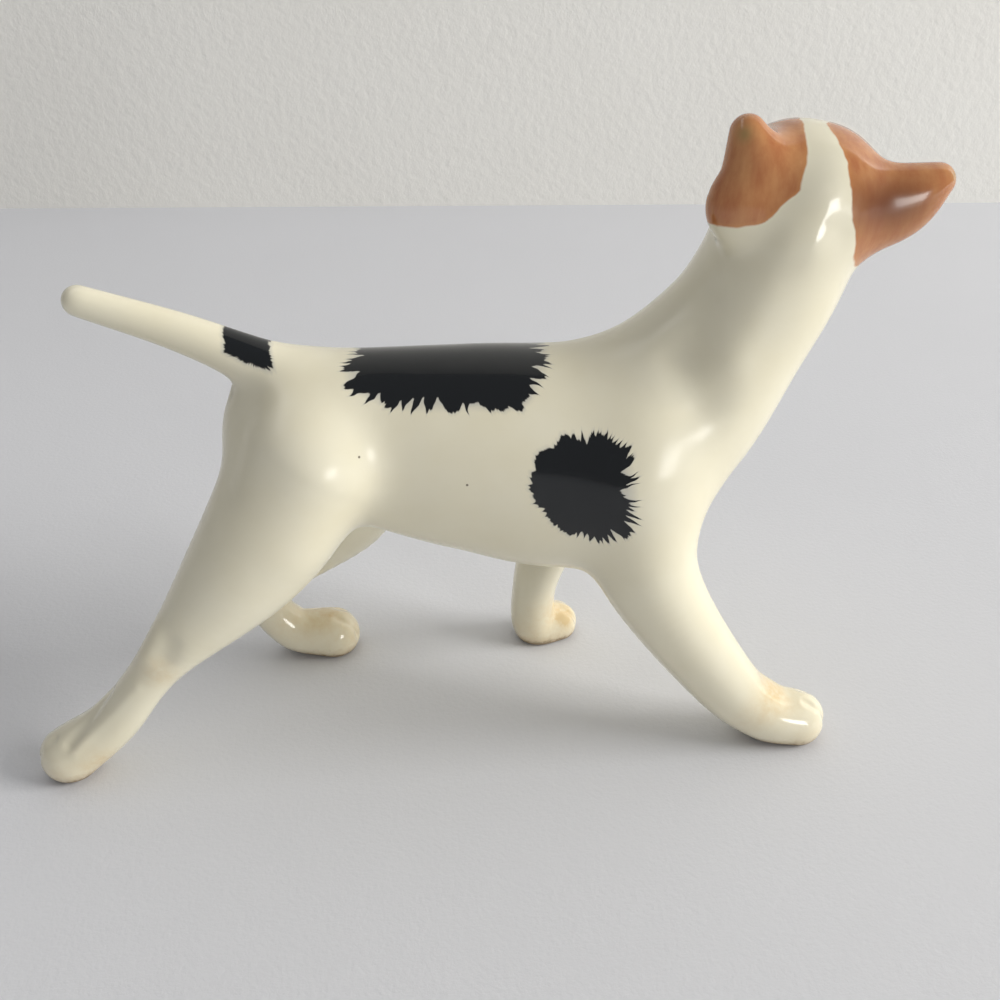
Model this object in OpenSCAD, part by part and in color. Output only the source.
// Walking dog figurine in glazed earthenware, made as castings joined with slip.
// Millimetres, +X towards the chest, +Y to the dog's left, +Z up from the floor.
// Each limb is a chain of round sections, and all the chains are blended like clay.
// Every casting is the skin of that clay, cut off flat where the next piece is joined on.

/* [View] */
// Piece to draw

/* [Trunk] */
// Height of the back above the floor
back_height = 77.3; // [65:0.1:90]
// Rump centre behind the origin
rump_back = 29; // [24:0.5:34]
// Rump centre to breast centre, along the floor
trunk_length = 66.5; // [58:0.5:76]
// Breast centre below the top of the back
breast_depth = 13.1; // [11.5:0.1:14.5]
// Radius of the rump
rump_radius = 14.4; // [13:0.1:16]
// Radius of the loin
loin_radius = 17; // [15.5:0.1:18]
// Radius round the last ribs
rib_radius = 20.1; // [18.5:0.1:21]
// Radius of the chest
chest_radius = 22.1; // [21:0.1:22.5]
// Radius of the breast
breast_radius = 17.9; // [16.5:0.1:19]

/* [Neck] */
// Breast centre to skull centre, along the floor
neck_reach = 21; // [17:0.5:25]
// Breast centre to skull centre, upwards
neck_rise = 38.8; // [34:0.1:43]
// Radius of the lower neck
neck_radius = 13.9; // [12.5:0.1:15]
// Radius of the upper neck
nape_radius = 12.9; // [12:0.1:14]
// Radius where the neck runs into the skull
poll_radius = 11.5; // [11:0.1:12.5]

/* [Head] */
// Turn of the head to the dog's left
head_turn = 70; // [60:1:80]
// Lift of the muzzle
head_lift = 3; // [0:1:8]
// Tilt of the head, left ear up
head_tilt = 8; // [0:1:12]
// Radius of the skull
skull_radius = 12; // [11.5:0.1:13]
// Skull centre to each side lobe of the skull
skull_spread = 2; // [1:0.1:3]
// Radius over the cheeks
cheek_radius = 10.5; // [9.5:0.1:11.5]
// Radius between the eyes and the nose
muzzle_radius = 7.5; // [7:0.1:8.5]
// Radius of the nose
nose_radius = 5.6; // [5:0.1:6.5]
// Skull centre to nose centre
muzzle_length = 19; // [16:0.5:22]
// Drop of the nose below the skull centre
muzzle_drop = 4.5; // [3:0.1:6]

/* [Ears] */
// Radius of both ear tips
ear_tip_radius = 3; // [2.5:0.1:3.5]
// Half width of the left ear halfway up
left_ear_radius = 6.2; // [5.5:0.1:7]
// Half width of the left ear at its root
left_ear_root_radius = 7.4; // [7:0.1:8]
// Half width of the right ear halfway along
right_ear_radius = 6.3; // [5.5:0.1:6.8]
// Half width of the right ear at its root
right_ear_root_radius = 7.8; // [7:0.1:8.5]
// Skull centre to the flat that each ear is joined to
ear_seat_distance = 10.5; // [10:0.1:11]

/* [Tail] */
// Tail root to tail tip, along the floor
tail_reach = 36; // [30:0.5:42]
// Tail root to tail tip, upwards
tail_rise = 17.8; // [12:0.1:24]
// Height of the tail root above the rump centre
tail_root_rise = 7.5; // [6:0.1:8.5]
// Radius of the tail root, inside the rump
tail_root_radius = 7; // [6:0.1:8]
// Radius of the tail where it leaves the rump
tail_dock_radius = 4.4; // [4:0.1:5]
// Radius halfway along the tail
tail_middle_radius = 3.4; // [3:0.1:4]
// Radius of the tail tip
tail_tip_radius = 2.7; // [2.2:0.1:3.2]
// Rump centre to the flat that the tail is joined to
tail_seat_distance = 14.9; // [14.6:0.1:15.4]

/* [Hind legs] */
// Hip behind the origin
hip_back = 28; // [25:0.5:31]
// Hip centre below the top of the back
hip_depth = 17.3; // [15.5:0.1:19]
// Reach of the hind legs behind the hip
hind_reach = 50; // [44:0.5:56]
// Sideways reach of every paw from the middle
paw_spread = 20; // [17:0.5:23]
// Radius of the thigh at the hip
thigh_radius = 13.5; // [12.5:0.1:14.5]
// Radius of the right knee
right_knee_radius = 10.9; // [10:0.1:11.5]
// Radius of the left knee
left_knee_radius = 9; // [8.4:0.1:9.8]
// Radius of both hocks
hock_radius = 4.7; // [4.4:0.1:5.4]
// Radius of both hind paws
hind_paw_radius = 5.7; // [5.2:0.1:6.2]

/* [Front legs] */
// Shoulder ahead of the origin
shoulder_ahead = 28; // [25:0.5:31]
// Shoulder centre below the top of the back
shoulder_depth = 23.3; // [21:0.1:25.5]
// Reach of the front legs ahead of the shoulder
fore_reach = 36; // [30:0.5:42]
// Radius of the shoulder
shoulder_radius = 13.6; // [12.5:0.1:14.5]
// Radius of the right elbow
right_elbow_radius = 9.2; // [8.6:0.1:9.8]
// Radius of the right wrist
right_wrist_radius = 6.7; // [6:0.1:7.2]
// Radius of the left elbow
left_elbow_radius = 7.5; // [7:0.1:8.2]
// Radius of the left wrist
left_wrist_radius = 4.9; // [4.5:0.1:5.5]
// Radius of both front paws
fore_paw_radius = 5.5; // [5:0.1:6]
// Radius of the toes of the left front paw
left_toe_radius = 4.8; // [4.5:0.1:5.5]

/* [Making] */
// Chest centre to the flats that the front legs are joined to
fore_seat_distance = 23; // [22.5:0.1:24]
// Rump centre to the flats that the hind legs are joined to
hind_seat_distance = 20; // [18.5:0.1:21]
// Wall of the hollow body and head
wall = 3.5; // [3:0.1:4]
// Layer of joining slip between two castings
slip = 0.4; // [0.2:0.1:0.8]
// Firing vent under the belly
vent_diameter = 3; // [2:0.5:4]

/* [Blend] */
// Softness where a leg runs into the trunk
leg_blend = 8; // [6:0.5:10]
// Softness where the head runs into the neck
head_blend = 6; // [4:0.5:8]
// Softness where an ear or the tail runs into its casting
small_blend = 4.5; // [3:0.5:6]

/* [Hidden] */

// Skins: spokes round a ring, steps of the smooth curve between two keys
body_spokes = 48;
head_spokes = 28;
limb_spokes = 24;
ear_spokes = 30;
low_crowding = 20;
curve_steps = 4;
limb_rings = 20;
tail_rings = 14;
march_steps = 16;
march_close = wall / 5000;

// Trunk and neck: share of the length, and how narrow the trunk is for its depth
spine_shares = [0, 0.21, 0.48, 0.78];
flank_share = 0.85;
breast_flank_share = 0.92;
neck_along_shares = [0.535, 0.85];
neck_up_shares = [0.37, 0.70];
neck_seat_row = 22;
neck_turn_row = 15;

// Head: along the muzzle and down with it, in shares of its length and drop
muzzle_along_shares = [0.16, 0.63, 1];
muzzle_drop_shares = [0.22, 0.78, 1];
throat_shares = [1.15, -1.05];
muzzle_back_share = -0.28;

// Ears: forwards, to the left and up from the skull centre, in skull radii, tip first
left_ear_shares = [[-0.62, 0.93, 0.90], [-0.68, 0.66, 0.36], [-0.76, 0.66, 0]];
right_ear_shares = [[0.23, -1.74, 0.55], [0.04, -1.32, 0.22], [-0.15, -0.81, 0.03]];
ear_thin_shares = [1, 0.72, 0.65];
left_ear_lean_shares = [-0.80, -0.35, 0.49];
right_ear_lean_shares = [0.93, -0.15, 0.33];

// Tail: along its reach and up its rise
tail_along_shares = [0, 0.26, 0.57, 1];
tail_up_shares = [0, 0.36, 0.67, 1];

// Legs, from the trunk down: reach ahead of the joint, spread to the side, height of the joint
hind_right_shares = [
  [0, 0.35, 1],
  [-0.23, 0.6, 0.72],
  [-0.585, 0.88, 0.41],
  [-0.8, 0.93, 0.195],
  [-0.99, 0.95, 0.072],
];
hind_left_shares = [
  [0, 0.35, 1],
  [0.11, 0.6, 0.66],
  [-0.28, 0.76, 0.31],
  [-0.21, 0.79, 0.11],
  [-0.02, 0.8, 0.065],
];
front_right_shares = [
  [0.08, 0.35, 1],
  [0.19, 0.65, 0.65],
  [0.565, 0.9, 0.28],
  [0.83, 0.97, 0.12],
  [1.03, 1, 0.07],
];
front_left_shares = [
  [-0.05, 0.35, 1],
  [-0.19, 0.65, 0.667],
  [-0.33, 0.78, 0.296],
  [-0.32, 0.83, 0.07],
  [-0.19, 0.88, 0.055],
];

// Directions in which the flats of the legs face
front_right_lean_shares = [0.35, -0.3, -0.89];
front_left_lean_shares = [0.1, 0.45, -0.89];
hind_right_lean_shares = [-0.38, -0.2, -0.9];
hind_left_lean_shares = [-0.38, 0.2, -0.9];

function lerp(a, b, t) = a + (b - a) * t;
function unit(v) = v / norm(v);
function flat_out(v, axis) = unit(v - (v * axis) * axis);
function spot(key) = [key[0], key[1], key[2]];

// Smooth curve from b to c with neighbours a and d; works on whole rows
function curve(a, b, c, d, t) =
  (2 * b + (c - a) * t + (2 * a - 5 * b + 4 * c - d) * t * t + (3 * b - a - 3 * c + d) * t * t * t) / 2;

// Keys are rows of x, y, z, radius and narrowness; the curve runs through all of them
function smooth(keys, steps) = let (last = len(keys) - 1) [
  for (i = [0:last - 1])
    let (
      b = keys[i],
      c = keys[i + 1],
      a = i > 0 ? keys[i - 1] : 2 * b - c,
      d = i + 1 < last ? keys[i + 2] : 2 * c - b
    )
    for (j = [0:steps - 1]) curve(a, b, c, d, j / steps),
  keys[last],
];

// A chain of short round links between the rows of a smooth curve
function chain(rows) = [
  for (i = [1:len(rows) - 1])
    let (a = rows[i - 1], b = rows[i], along = spot(b) - spot(a))
    [spot(a), along, along / (along * along), a[3], b[3] - a[3], a[4], b[4] - a[4]],
];

function link_gap(p, link) =
  let (
    q = p - link[0],
    h = min(max(q * link[2], 0), 1),
    away = q - h * link[1]
  )
  norm([away.x, away.y / (link[5] + h * link[6]), away.z]) - link[3] - h * link[4];

function chain_gap(p, links) = min([for (link = links) link_gap(p, link)]);

function soft_min(a, b, k) = let (h = max(k - abs(a - b), 0) / k) min(a, b) - h * h * h * k / 6;

// Clay is a list of softness and chain; negative inside
function clay_gap(p, clay, i = 1, so_far = undef) =
  let (now = is_undef(so_far) ? chain_gap(p, clay[0][1]) : so_far)
  i >= len(clay) ? now : clay_gap(p, clay, i + 1, soft_min(now, chain_gap(p, clay[i][1]), clay[i][0]));

// The same, a wall thickness further in, and kept behind each cut
function casting_gap(p, clay, depth, cuts) =
  max([clay_gap(p, clay) + depth, for (c = cuts) c[0] * p - c[1]]);

// Walks out along a spoke to the skin, faster where it is met at a slant
function reach(from, way, clay, depth, cuts, r = 0, r_before = -1, gap_before = -1, left = march_steps) =
  let (gap = casting_gap(from + r * way, clay, depth, cuts))
  left == 0 || abs(gap) < march_close ? r :
  let (pace = min(max((r - r_before) / max(gap - gap_before, march_close), 1), r_before < 0 ? 1 : 3))
  reach(from, way, clay, depth, cuts, max(r - gap * pace, 0), r, gap, left - 1);

// A station is a centre, an axis and how far its spokes lean towards the axis
// The spokes of a ring start at the side given and may crowd a quarter turn on
function ring(station, side, spokes, clay, depth, cuts, crowding = 0) =
  let (
    axis = station[1],
    u = flat_out(side, axis),
    v = cross(axis, u)
  )
  [
    for (k = [0:spokes - 1])
      let (
        turn = 360 * k / spokes + crowding * cos(360 * k / spokes),
        way = cos(station[2]) * (cos(turn) * u + sin(turn) * v) + sin(station[2]) * axis
      )
      station[0] + reach(station[0], way, clay, depth, cuts) * way,
  ];

function skin(stations, side, spokes, clay, depth, cuts, crowding = 0) = [
  for (s = stations) each ring(s, side, spokes, clay, depth, cuts, crowding),
  let (s = stations[len(stations) - 1])
  s[0] + reach(s[0], s[1], clay, depth, cuts) * s[1],
];

// Faces of a skin whose points start at number first; flip turns the skin inside out
function turned(face, flip) = flip ? [face[0], face[2], face[1]] : face;
function skin_faces(rings, spokes, first, flip) = [
  for (i = [0:rings - 2], k = [0:spokes - 1])
    let (
      a = first + i * spokes + k,
      b = first + i * spokes + (k + 1) % spokes
    )
    each [turned([a, a + spokes, b + spokes], flip), turned([a, b + spokes, b], flip)],
  for (k = [0:spokes - 1])
    let (last = first + (rings - 1) * spokes)
    turned([last + k, last + spokes, last + (k + 1) % spokes], flip),
];

function middle(points) = [for (p = points) 1] * points / len(points);

// Solid piece: a flat seat, rings and a rounded end
module solid_skin(points, spokes) {
  seat = middle([for (k = [0:spokes - 1]) points[k]]);
  rings = floor(len(points) / spokes);
  polyhedron(
    [each points, seat],
    [
      each skin_faces(rings, spokes, 0, false),
      for (k = [0:spokes - 1]) [k, (k + 1) % spokes, len(points)],
    ]
  );
}

// Hollow piece: an outer and an inner skin meet in a flat rim
module hollow_skin(outer, inner, spokes) {
  first = len(outer);
  polyhedron(
    [each outer, each inner],
    [
      each skin_faces(floor(len(outer) / spokes), spokes, 0, false),
      each skin_faces(floor(len(inner) / spokes), spokes, first, true),
      for (k = [0:spokes - 1])
        let (n = (k + 1) % spokes)
        each [[k, n, first + n], [k, first + n, first + k]],
    ]
  );
}

// Layer of slip between two flats, with the outline of the first ring
module slip_disc(outline, axis) {
  n = len(outline);
  near = middle(outline);
  polyhedron(
    [each outline, for (p = outline) p - slip * axis, near, near - slip * axis],
    [
      for (k = [0:n - 1])
        let (m = (k + 1) % n)
        each [
          [k, 2 * n, m],
          [n + k, n + m, 2 * n + 1],
          [k, m, n + m],
          [k, n + m, n + k],
        ],
    ]
  );
}

// Trunk and neck in one chain
breast_height = back_height - breast_depth;
head_height = breast_height + neck_rise;
trunk_radii = [rump_radius, loin_radius, rib_radius, chest_radius];
skull_centre = [trunk_length - rump_back + neck_reach, 0, head_height];
spine = smooth([
  for (i = [0:3])
    [
      spine_shares[i] * trunk_length - rump_back,
      0,
      back_height - trunk_radii[i],
      trunk_radii[i],
      flank_share,
    ],
  [trunk_length - rump_back, 0, breast_height, breast_radius, breast_flank_share],
  for (i = [0:1])
    [
      trunk_length - rump_back + neck_along_shares[i] * neck_reach,
      0,
      lerp(breast_height, head_height, neck_up_shares[i]),
      [neck_radius, nape_radius][i],
      1,
    ],
  [each skull_centre, poll_radius, 1],
], curve_steps);
rump_centre = spot(spine[0]);

// Directions of the head: forwards, to its left and up
head_forward = [cos(head_turn) * cos(head_lift), sin(head_turn) * cos(head_lift), sin(head_lift)];
level_left = [-sin(head_turn), cos(head_turn), 0];
head_left = cos(head_tilt) * level_left + sin(head_tilt) * cross(head_forward, level_left);
head_up = cross(head_forward, head_left);
function on_head(forwards, left, up) =
  skull_centre + forwards * head_forward + left * head_left + up * head_up;

skull = [
  for (side = [-1, 1]) [each on_head(0, side * skull_spread, 0), skull_radius, 1],
];
muzzle = smooth([
  for (i = [0:2])
    [
      each on_head(muzzle_along_shares[i] * muzzle_length, 0, -muzzle_drop_shares[i] * muzzle_drop),
      [cheek_radius, muzzle_radius, nose_radius][i],
      1,
    ],
], curve_steps);

function ear_keys(shares, radii) = smooth([
  for (i = [0:2])
    let (at = skull_radius * shares[i])
    [each on_head(at[0], at[1], at[2]), radii[i], ear_thin_shares[i]],
], curve_steps);
left_ear_radii = [ear_tip_radius, left_ear_radius, left_ear_root_radius];
left_ear_rows = ear_keys(left_ear_shares, left_ear_radii);
right_ear_radii = [ear_tip_radius, right_ear_radius, right_ear_root_radius];
right_ear_rows = ear_keys(right_ear_shares, right_ear_radii);

tail_radii = [tail_root_radius, tail_dock_radius, tail_middle_radius, tail_tip_radius];
tail_rows = smooth([
  for (i = [0:3])
    [
      rump_centre.x - tail_along_shares[i] * tail_reach,
      0,
      rump_centre.z + tail_root_rise + tail_up_shares[i] * tail_rise,
      tail_radii[i],
      1,
    ],
], curve_steps);

hip_height = back_height - hip_depth;
shoulder_height = back_height - shoulder_depth;
function leg_rows(side, from, length, height, shares, radii) = smooth([
  for (i = [0:4])
    [from + shares[i][0] * length, side * shares[i][1] * paw_spread, shares[i][2] * height, radii[i], 1],
], curve_steps);
function hind_radii(knee) = [thigh_radius, knee, hock_radius, hock_radius, hind_paw_radius];
function front_radii(elbow, wrist, toe) =
  [shoulder_radius, elbow, wrist, lerp(wrist, fore_paw_radius, 0.5), toe];
function hind_rows(side, shares, knee) =
  leg_rows(side, -hip_back, hind_reach, hip_height, shares, hind_radii(knee));
function front_rows(side, shares, radii) =
  leg_rows(side, shoulder_ahead, fore_reach, shoulder_height, shares, radii);
hind_right_rows = hind_rows(-1, hind_right_shares, right_knee_radius);
hind_left_rows = hind_rows(1, hind_left_shares, left_knee_radius);
front_right_radii = front_radii(right_elbow_radius, right_wrist_radius, fore_paw_radius);
front_right_rows = front_rows(-1, front_right_shares, front_right_radii);
front_left_radii = front_radii(left_elbow_radius, left_wrist_radius, left_toe_radius);
front_left_rows = front_rows(1, front_left_shares, front_left_radii);

trunk_clay = [
  [0, chain(spine)],
  [leg_blend, chain(hind_right_rows)],
  [leg_blend, chain(hind_left_rows)],
  [leg_blend, chain(front_right_rows)],
  [leg_blend, chain(front_left_rows)],
  [small_blend, chain(tail_rows)],
];
head_clay = [
  [0, chain(spine)],
  [head_blend, chain(skull)],
  [head_blend, chain(muzzle)],
  [small_blend, chain(left_ear_rows)],
  [small_blend, chain(right_ear_rows)],
];

// Places between the rows of a chain
function between(rows, i) = lerp(spot(rows[floor(i)]), spot(rows[ceil(i)]), i - floor(i));
function tangent(rows, i) =
  unit(between(rows, min(i + 0.5, len(rows) - 1)) - between(rows, max(i - 0.5, 0)));
function domed(station, leans) = [for (lean = leans) [station[0], station[1], lean]];
function ease(t) = let (s = min(max(t, 0), 1)) s * s * (3 - 2 * s);
fine_leans = [for (lean = [9:9:81]) lean];
coarse_leans = [for (lean = [15:15:75]) lean];

// A flat is a centre on the limb and the direction out of the casting that carries it
function crossing(rows, axis, level, i = 0) =
  let (a = axis * spot(rows[i]), b = axis * spot(rows[i + 1]))
  b < level ? crossing(rows, axis, level, i + 1) : i + (level - a) / (b - a);
function seat_on(rows, axis, level) = [between(rows, crossing(rows, axis, level)), axis];
function cut_at(seat, further) = [seat[1], seat[1] * seat[0] + further];
chest_row = 3 * curve_steps;
chest_centre = spot(spine[chest_row]);
function leg_seat(rows, lean, centre, distance) =
  seat_on(rows, unit(lean), unit(lean) * centre + distance);
leg_seats = [
  leg_seat(front_right_rows, front_right_lean_shares, chest_centre, fore_seat_distance),
  leg_seat(front_left_rows, front_left_lean_shares, chest_centre, fore_seat_distance),
  leg_seat(hind_right_rows, hind_right_lean_shares, rump_centre, hind_seat_distance),
  leg_seat(hind_left_rows, hind_left_lean_shares, rump_centre, hind_seat_distance),
];
tail_axis = unit([-tail_along_shares[2] * tail_reach, 0, tail_up_shares[2] * tail_rise]);
tail_seat_level = tail_axis * rump_centre + tail_seat_distance;
tail_seat = seat_on(tail_rows, tail_axis, tail_seat_level);
neck_axis = tangent(spine, neck_seat_row);
neck_seat = [spot(spine[neck_seat_row]), neck_axis];

// Body: from the flat on the neck back along the trunk, then domed round the rump
neck_lean = asin(neck_axis.z);
function body_stations(step, leans) =
  let (
    rings = [
      for (i = [neck_seat_row:-step:0])
        let (lean = neck_lean * ease((i - neck_turn_row) / (neck_seat_row - neck_turn_row)))
        [between(spine, i), [-cos(lean), 0, -sin(lean)], 0],
    ]
  )
  [each rings, each domed(rings[len(rings) - 1], leans)];

// A skin runs past its flats before they are cut
over = wall / 2;
stump_over = 3 * over;

body_cuts = [for (seat = leg_seats) cut_at(seat, stump_over), cut_at(tail_seat, over)];
cavity_cuts = [for (seat = [each leg_seats, tail_seat]) cut_at(seat, -wall)];

// Block that fills everything beyond a flat
module beyond(seat, size) {
  translate(seat[0])
    rotate([0, acos(seat[1].z), atan2(seat[1].y, seat[1].x)])
      translate([-size, -size, 0])
        cube([2 * size, 2 * size, size]);
}

function body_skin(stations, depth, cuts) =
  skin(stations, [0, 1, 0], body_spokes, trunk_clay, depth, cuts, low_crowding);

module body_casting() {
  color("ivory")
    difference() {
      hollow_skin(
        body_skin(body_stations(0.5, fine_leans), 0, body_cuts),
        body_skin(body_stations(1, coarse_leans), wall, cavity_cuts),
        body_spokes
      );
      for (seat = leg_seats) beyond(seat, thigh_radius);
      beyond(tail_seat, tail_reach / 2);
      cylinder(h = hip_height, d = vent_diameter, $fn = 24);
    }
}

// Head: up the neck, round a hinge outside the throat, then along the muzzle
throat = on_head(throat_shares[0] * skull_radius, 0, throat_shares[1] * skull_radius);
hinge_way = unit(cross(neck_axis, head_forward));
head_bend = acos(neck_axis * head_forward);
neck_top = neck_seat[0] + (neck_axis * (throat - neck_seat[0])) * neck_axis;
muzzle_back = on_head(throat_shares[0] * skull_radius, 0, muzzle_back_share * skull_radius);
nose_centre = spot(muzzle[len(muzzle) - 1]);
function bend_axis(t) =
  cos(head_bend * t) * neck_axis + sin(head_bend * t) * cross(hinge_way, neck_axis);
function off_hinge(v) = norm(v - (v * hinge_way) * hinge_way);
function bend_centre(t) =
  let (top = neck_top - throat, back = muzzle_back - throat)
  throat
    - lerp(off_hinge(top), off_hinge(back), t) * cross(hinge_way, bend_axis(t))
    + lerp(top * hinge_way, back * hinge_way, t) * hinge_way;
head_stations = [
  for (t = [0:1 / 3:0.9]) [lerp(neck_seat[0] + slip * neck_axis, neck_top, t), neck_axis, 0],
  for (t = [0:0.1:1]) [bend_centre(t), bend_axis(t), 0],
  for (t = [1 / 3:1 / 3:1]) [lerp(muzzle_back, nose_centre, t), head_forward, 0],
];
inner_head_stations = [for (i = [0:len(head_stations) - 4]) head_stations[i]];
function last_of(list) = list[len(list) - 1];
left_ear_axis = unit(left_ear_lean_shares);
right_ear_axis = unit(right_ear_lean_shares);
function ear_seat(rows, axis) =
  let (root = spot(rows[curve_steps]))
  [root - (axis * (root - skull_centre) - ear_seat_distance) * axis, axis];
left_ear_seat = ear_seat(left_ear_rows, left_ear_axis);
right_ear_seat = ear_seat(right_ear_rows, right_ear_axis);
ear_seats = [left_ear_seat, right_ear_seat];
head_cuts = [for (seat = ear_seats) cut_at(seat, over)];
head_cavity_cuts = [for (seat = ear_seats) cut_at(seat, -wall)];

module head_casting() {
  outer = [each head_stations, each domed(last_of(head_stations), coarse_leans)];
  inner = [each inner_head_stations, each domed(last_of(inner_head_stations), coarse_leans)];
  color("ivory")
    difference() {
      hollow_skin(
        skin(outer, hinge_way, head_spokes, head_clay, 0, head_cuts),
        skin(inner, hinge_way, head_spokes, head_clay, wall, head_cavity_cuts),
        head_spokes
      );
      for (seat = ear_seats) beyond(seat, skull_radius * 1.5);
    }
}

module left_ear() {
  centre = spot(left_ear_rows[curve_steps]);
  stations = [
    [left_ear_seat[0] + slip * left_ear_axis, left_ear_axis, 0],
    each domed([centre, left_ear_axis], [0, each fine_leans]),
  ];
  color("peru")
    solid_skin(skin(stations, [0, 0, 1], ear_spokes, head_clay, 0, []), ear_spokes);
}

module right_ear() {
  tip = spot(right_ear_rows[0]);
  stations = [
    for (t = [0:0.125:1]) [lerp(right_ear_seat[0] + slip * right_ear_axis, tip, t), right_ear_axis, 0],
    each domed([tip, right_ear_axis], coarse_leans),
  ];
  color("peru")
    solid_skin(skin(stations, [0, 0, 1], ear_spokes, head_clay, 0, []), ear_spokes);
}

// Limb: flat at its seat, then ring by ring until the rings stop, with a domed end
function limb_skin(rows, seat, start, stop, count) =
  let (
    rings = [
      for (n = [0:count])
        let (i = lerp(start, stop, n / count))
        [
          between(rows, i) + (n == 0 ? slip : 0) * seat[1],
          unit(lerp(seat[1], tangent(rows, i), min((i - start) / 2, 1))),
          0,
        ],
    ]
  )
  skin([each rings, each domed(last_of(rings), fine_leans)], [0, 1, 0], limb_spokes, trunk_clay, 0, []);

module tail() {
  start = crossing(tail_rows, tail_axis, tail_seat_level);
  color("ivory")
    solid_skin(limb_skin(tail_rows, tail_seat, start, len(tail_rows) - 1, tail_rings), limb_spokes);
}

module leg(rows, seat, stop) {
  start = crossing(rows, seat[1], seat[1] * seat[0]);
  color("ivory")
    difference() {
      solid_skin(limb_skin(rows, seat, start, stop, limb_rings), limb_spokes);
      translate([-trunk_length * 2, -trunk_length, -trunk_length])
        cube([trunk_length * 4, trunk_length * 2, trunk_length]);
    }
}

// The rings of a leg end in its toes, but the upright leg's end in its heel
toe_row = 4 * curve_steps;
heel_row = 3 * curve_steps;
module front_right_leg() leg(front_right_rows, leg_seats[0], toe_row);
module front_left_leg() leg(front_left_rows, leg_seats[1], heel_row);
module hind_right_leg() leg(hind_right_rows, leg_seats[2], toe_row);
module hind_left_leg() leg(hind_left_rows, leg_seats[3], toe_row);

// Slip between two flats, with the outline that the clay has there
module slip_at(seat, side, spokes, clay) {
  slip_disc(ring([seat[0] + slip * seat[1], seat[1], 0], side, spokes, clay, 0, []), seat[1]);
}

module leg_joints() {
  color("linen") for (seat = leg_seats) slip_at(seat, [0, 1, 0], limb_spokes, trunk_clay);
}

module ear_joints() {
  color("linen") for (seat = ear_seats) slip_at(seat, [0, 0, 1], ear_spokes, head_clay);
}

module tail_joint() {
  color("linen") slip_at(tail_seat, [0, 1, 0], limb_spokes, trunk_clay);
}

module neck_joint() {
  color("linen")
    difference() {
      slip_at(neck_seat, hinge_way, head_spokes, head_clay);
      translate(neck_seat[0]) sphere(r = nape_radius - wall);
    }
}

body_casting();
head_casting();
left_ear();
right_ear();
tail();
front_right_leg();
front_left_leg();
hind_right_leg();
hind_left_leg();
leg_joints();
ear_joints();
neck_joint();
tail_joint();
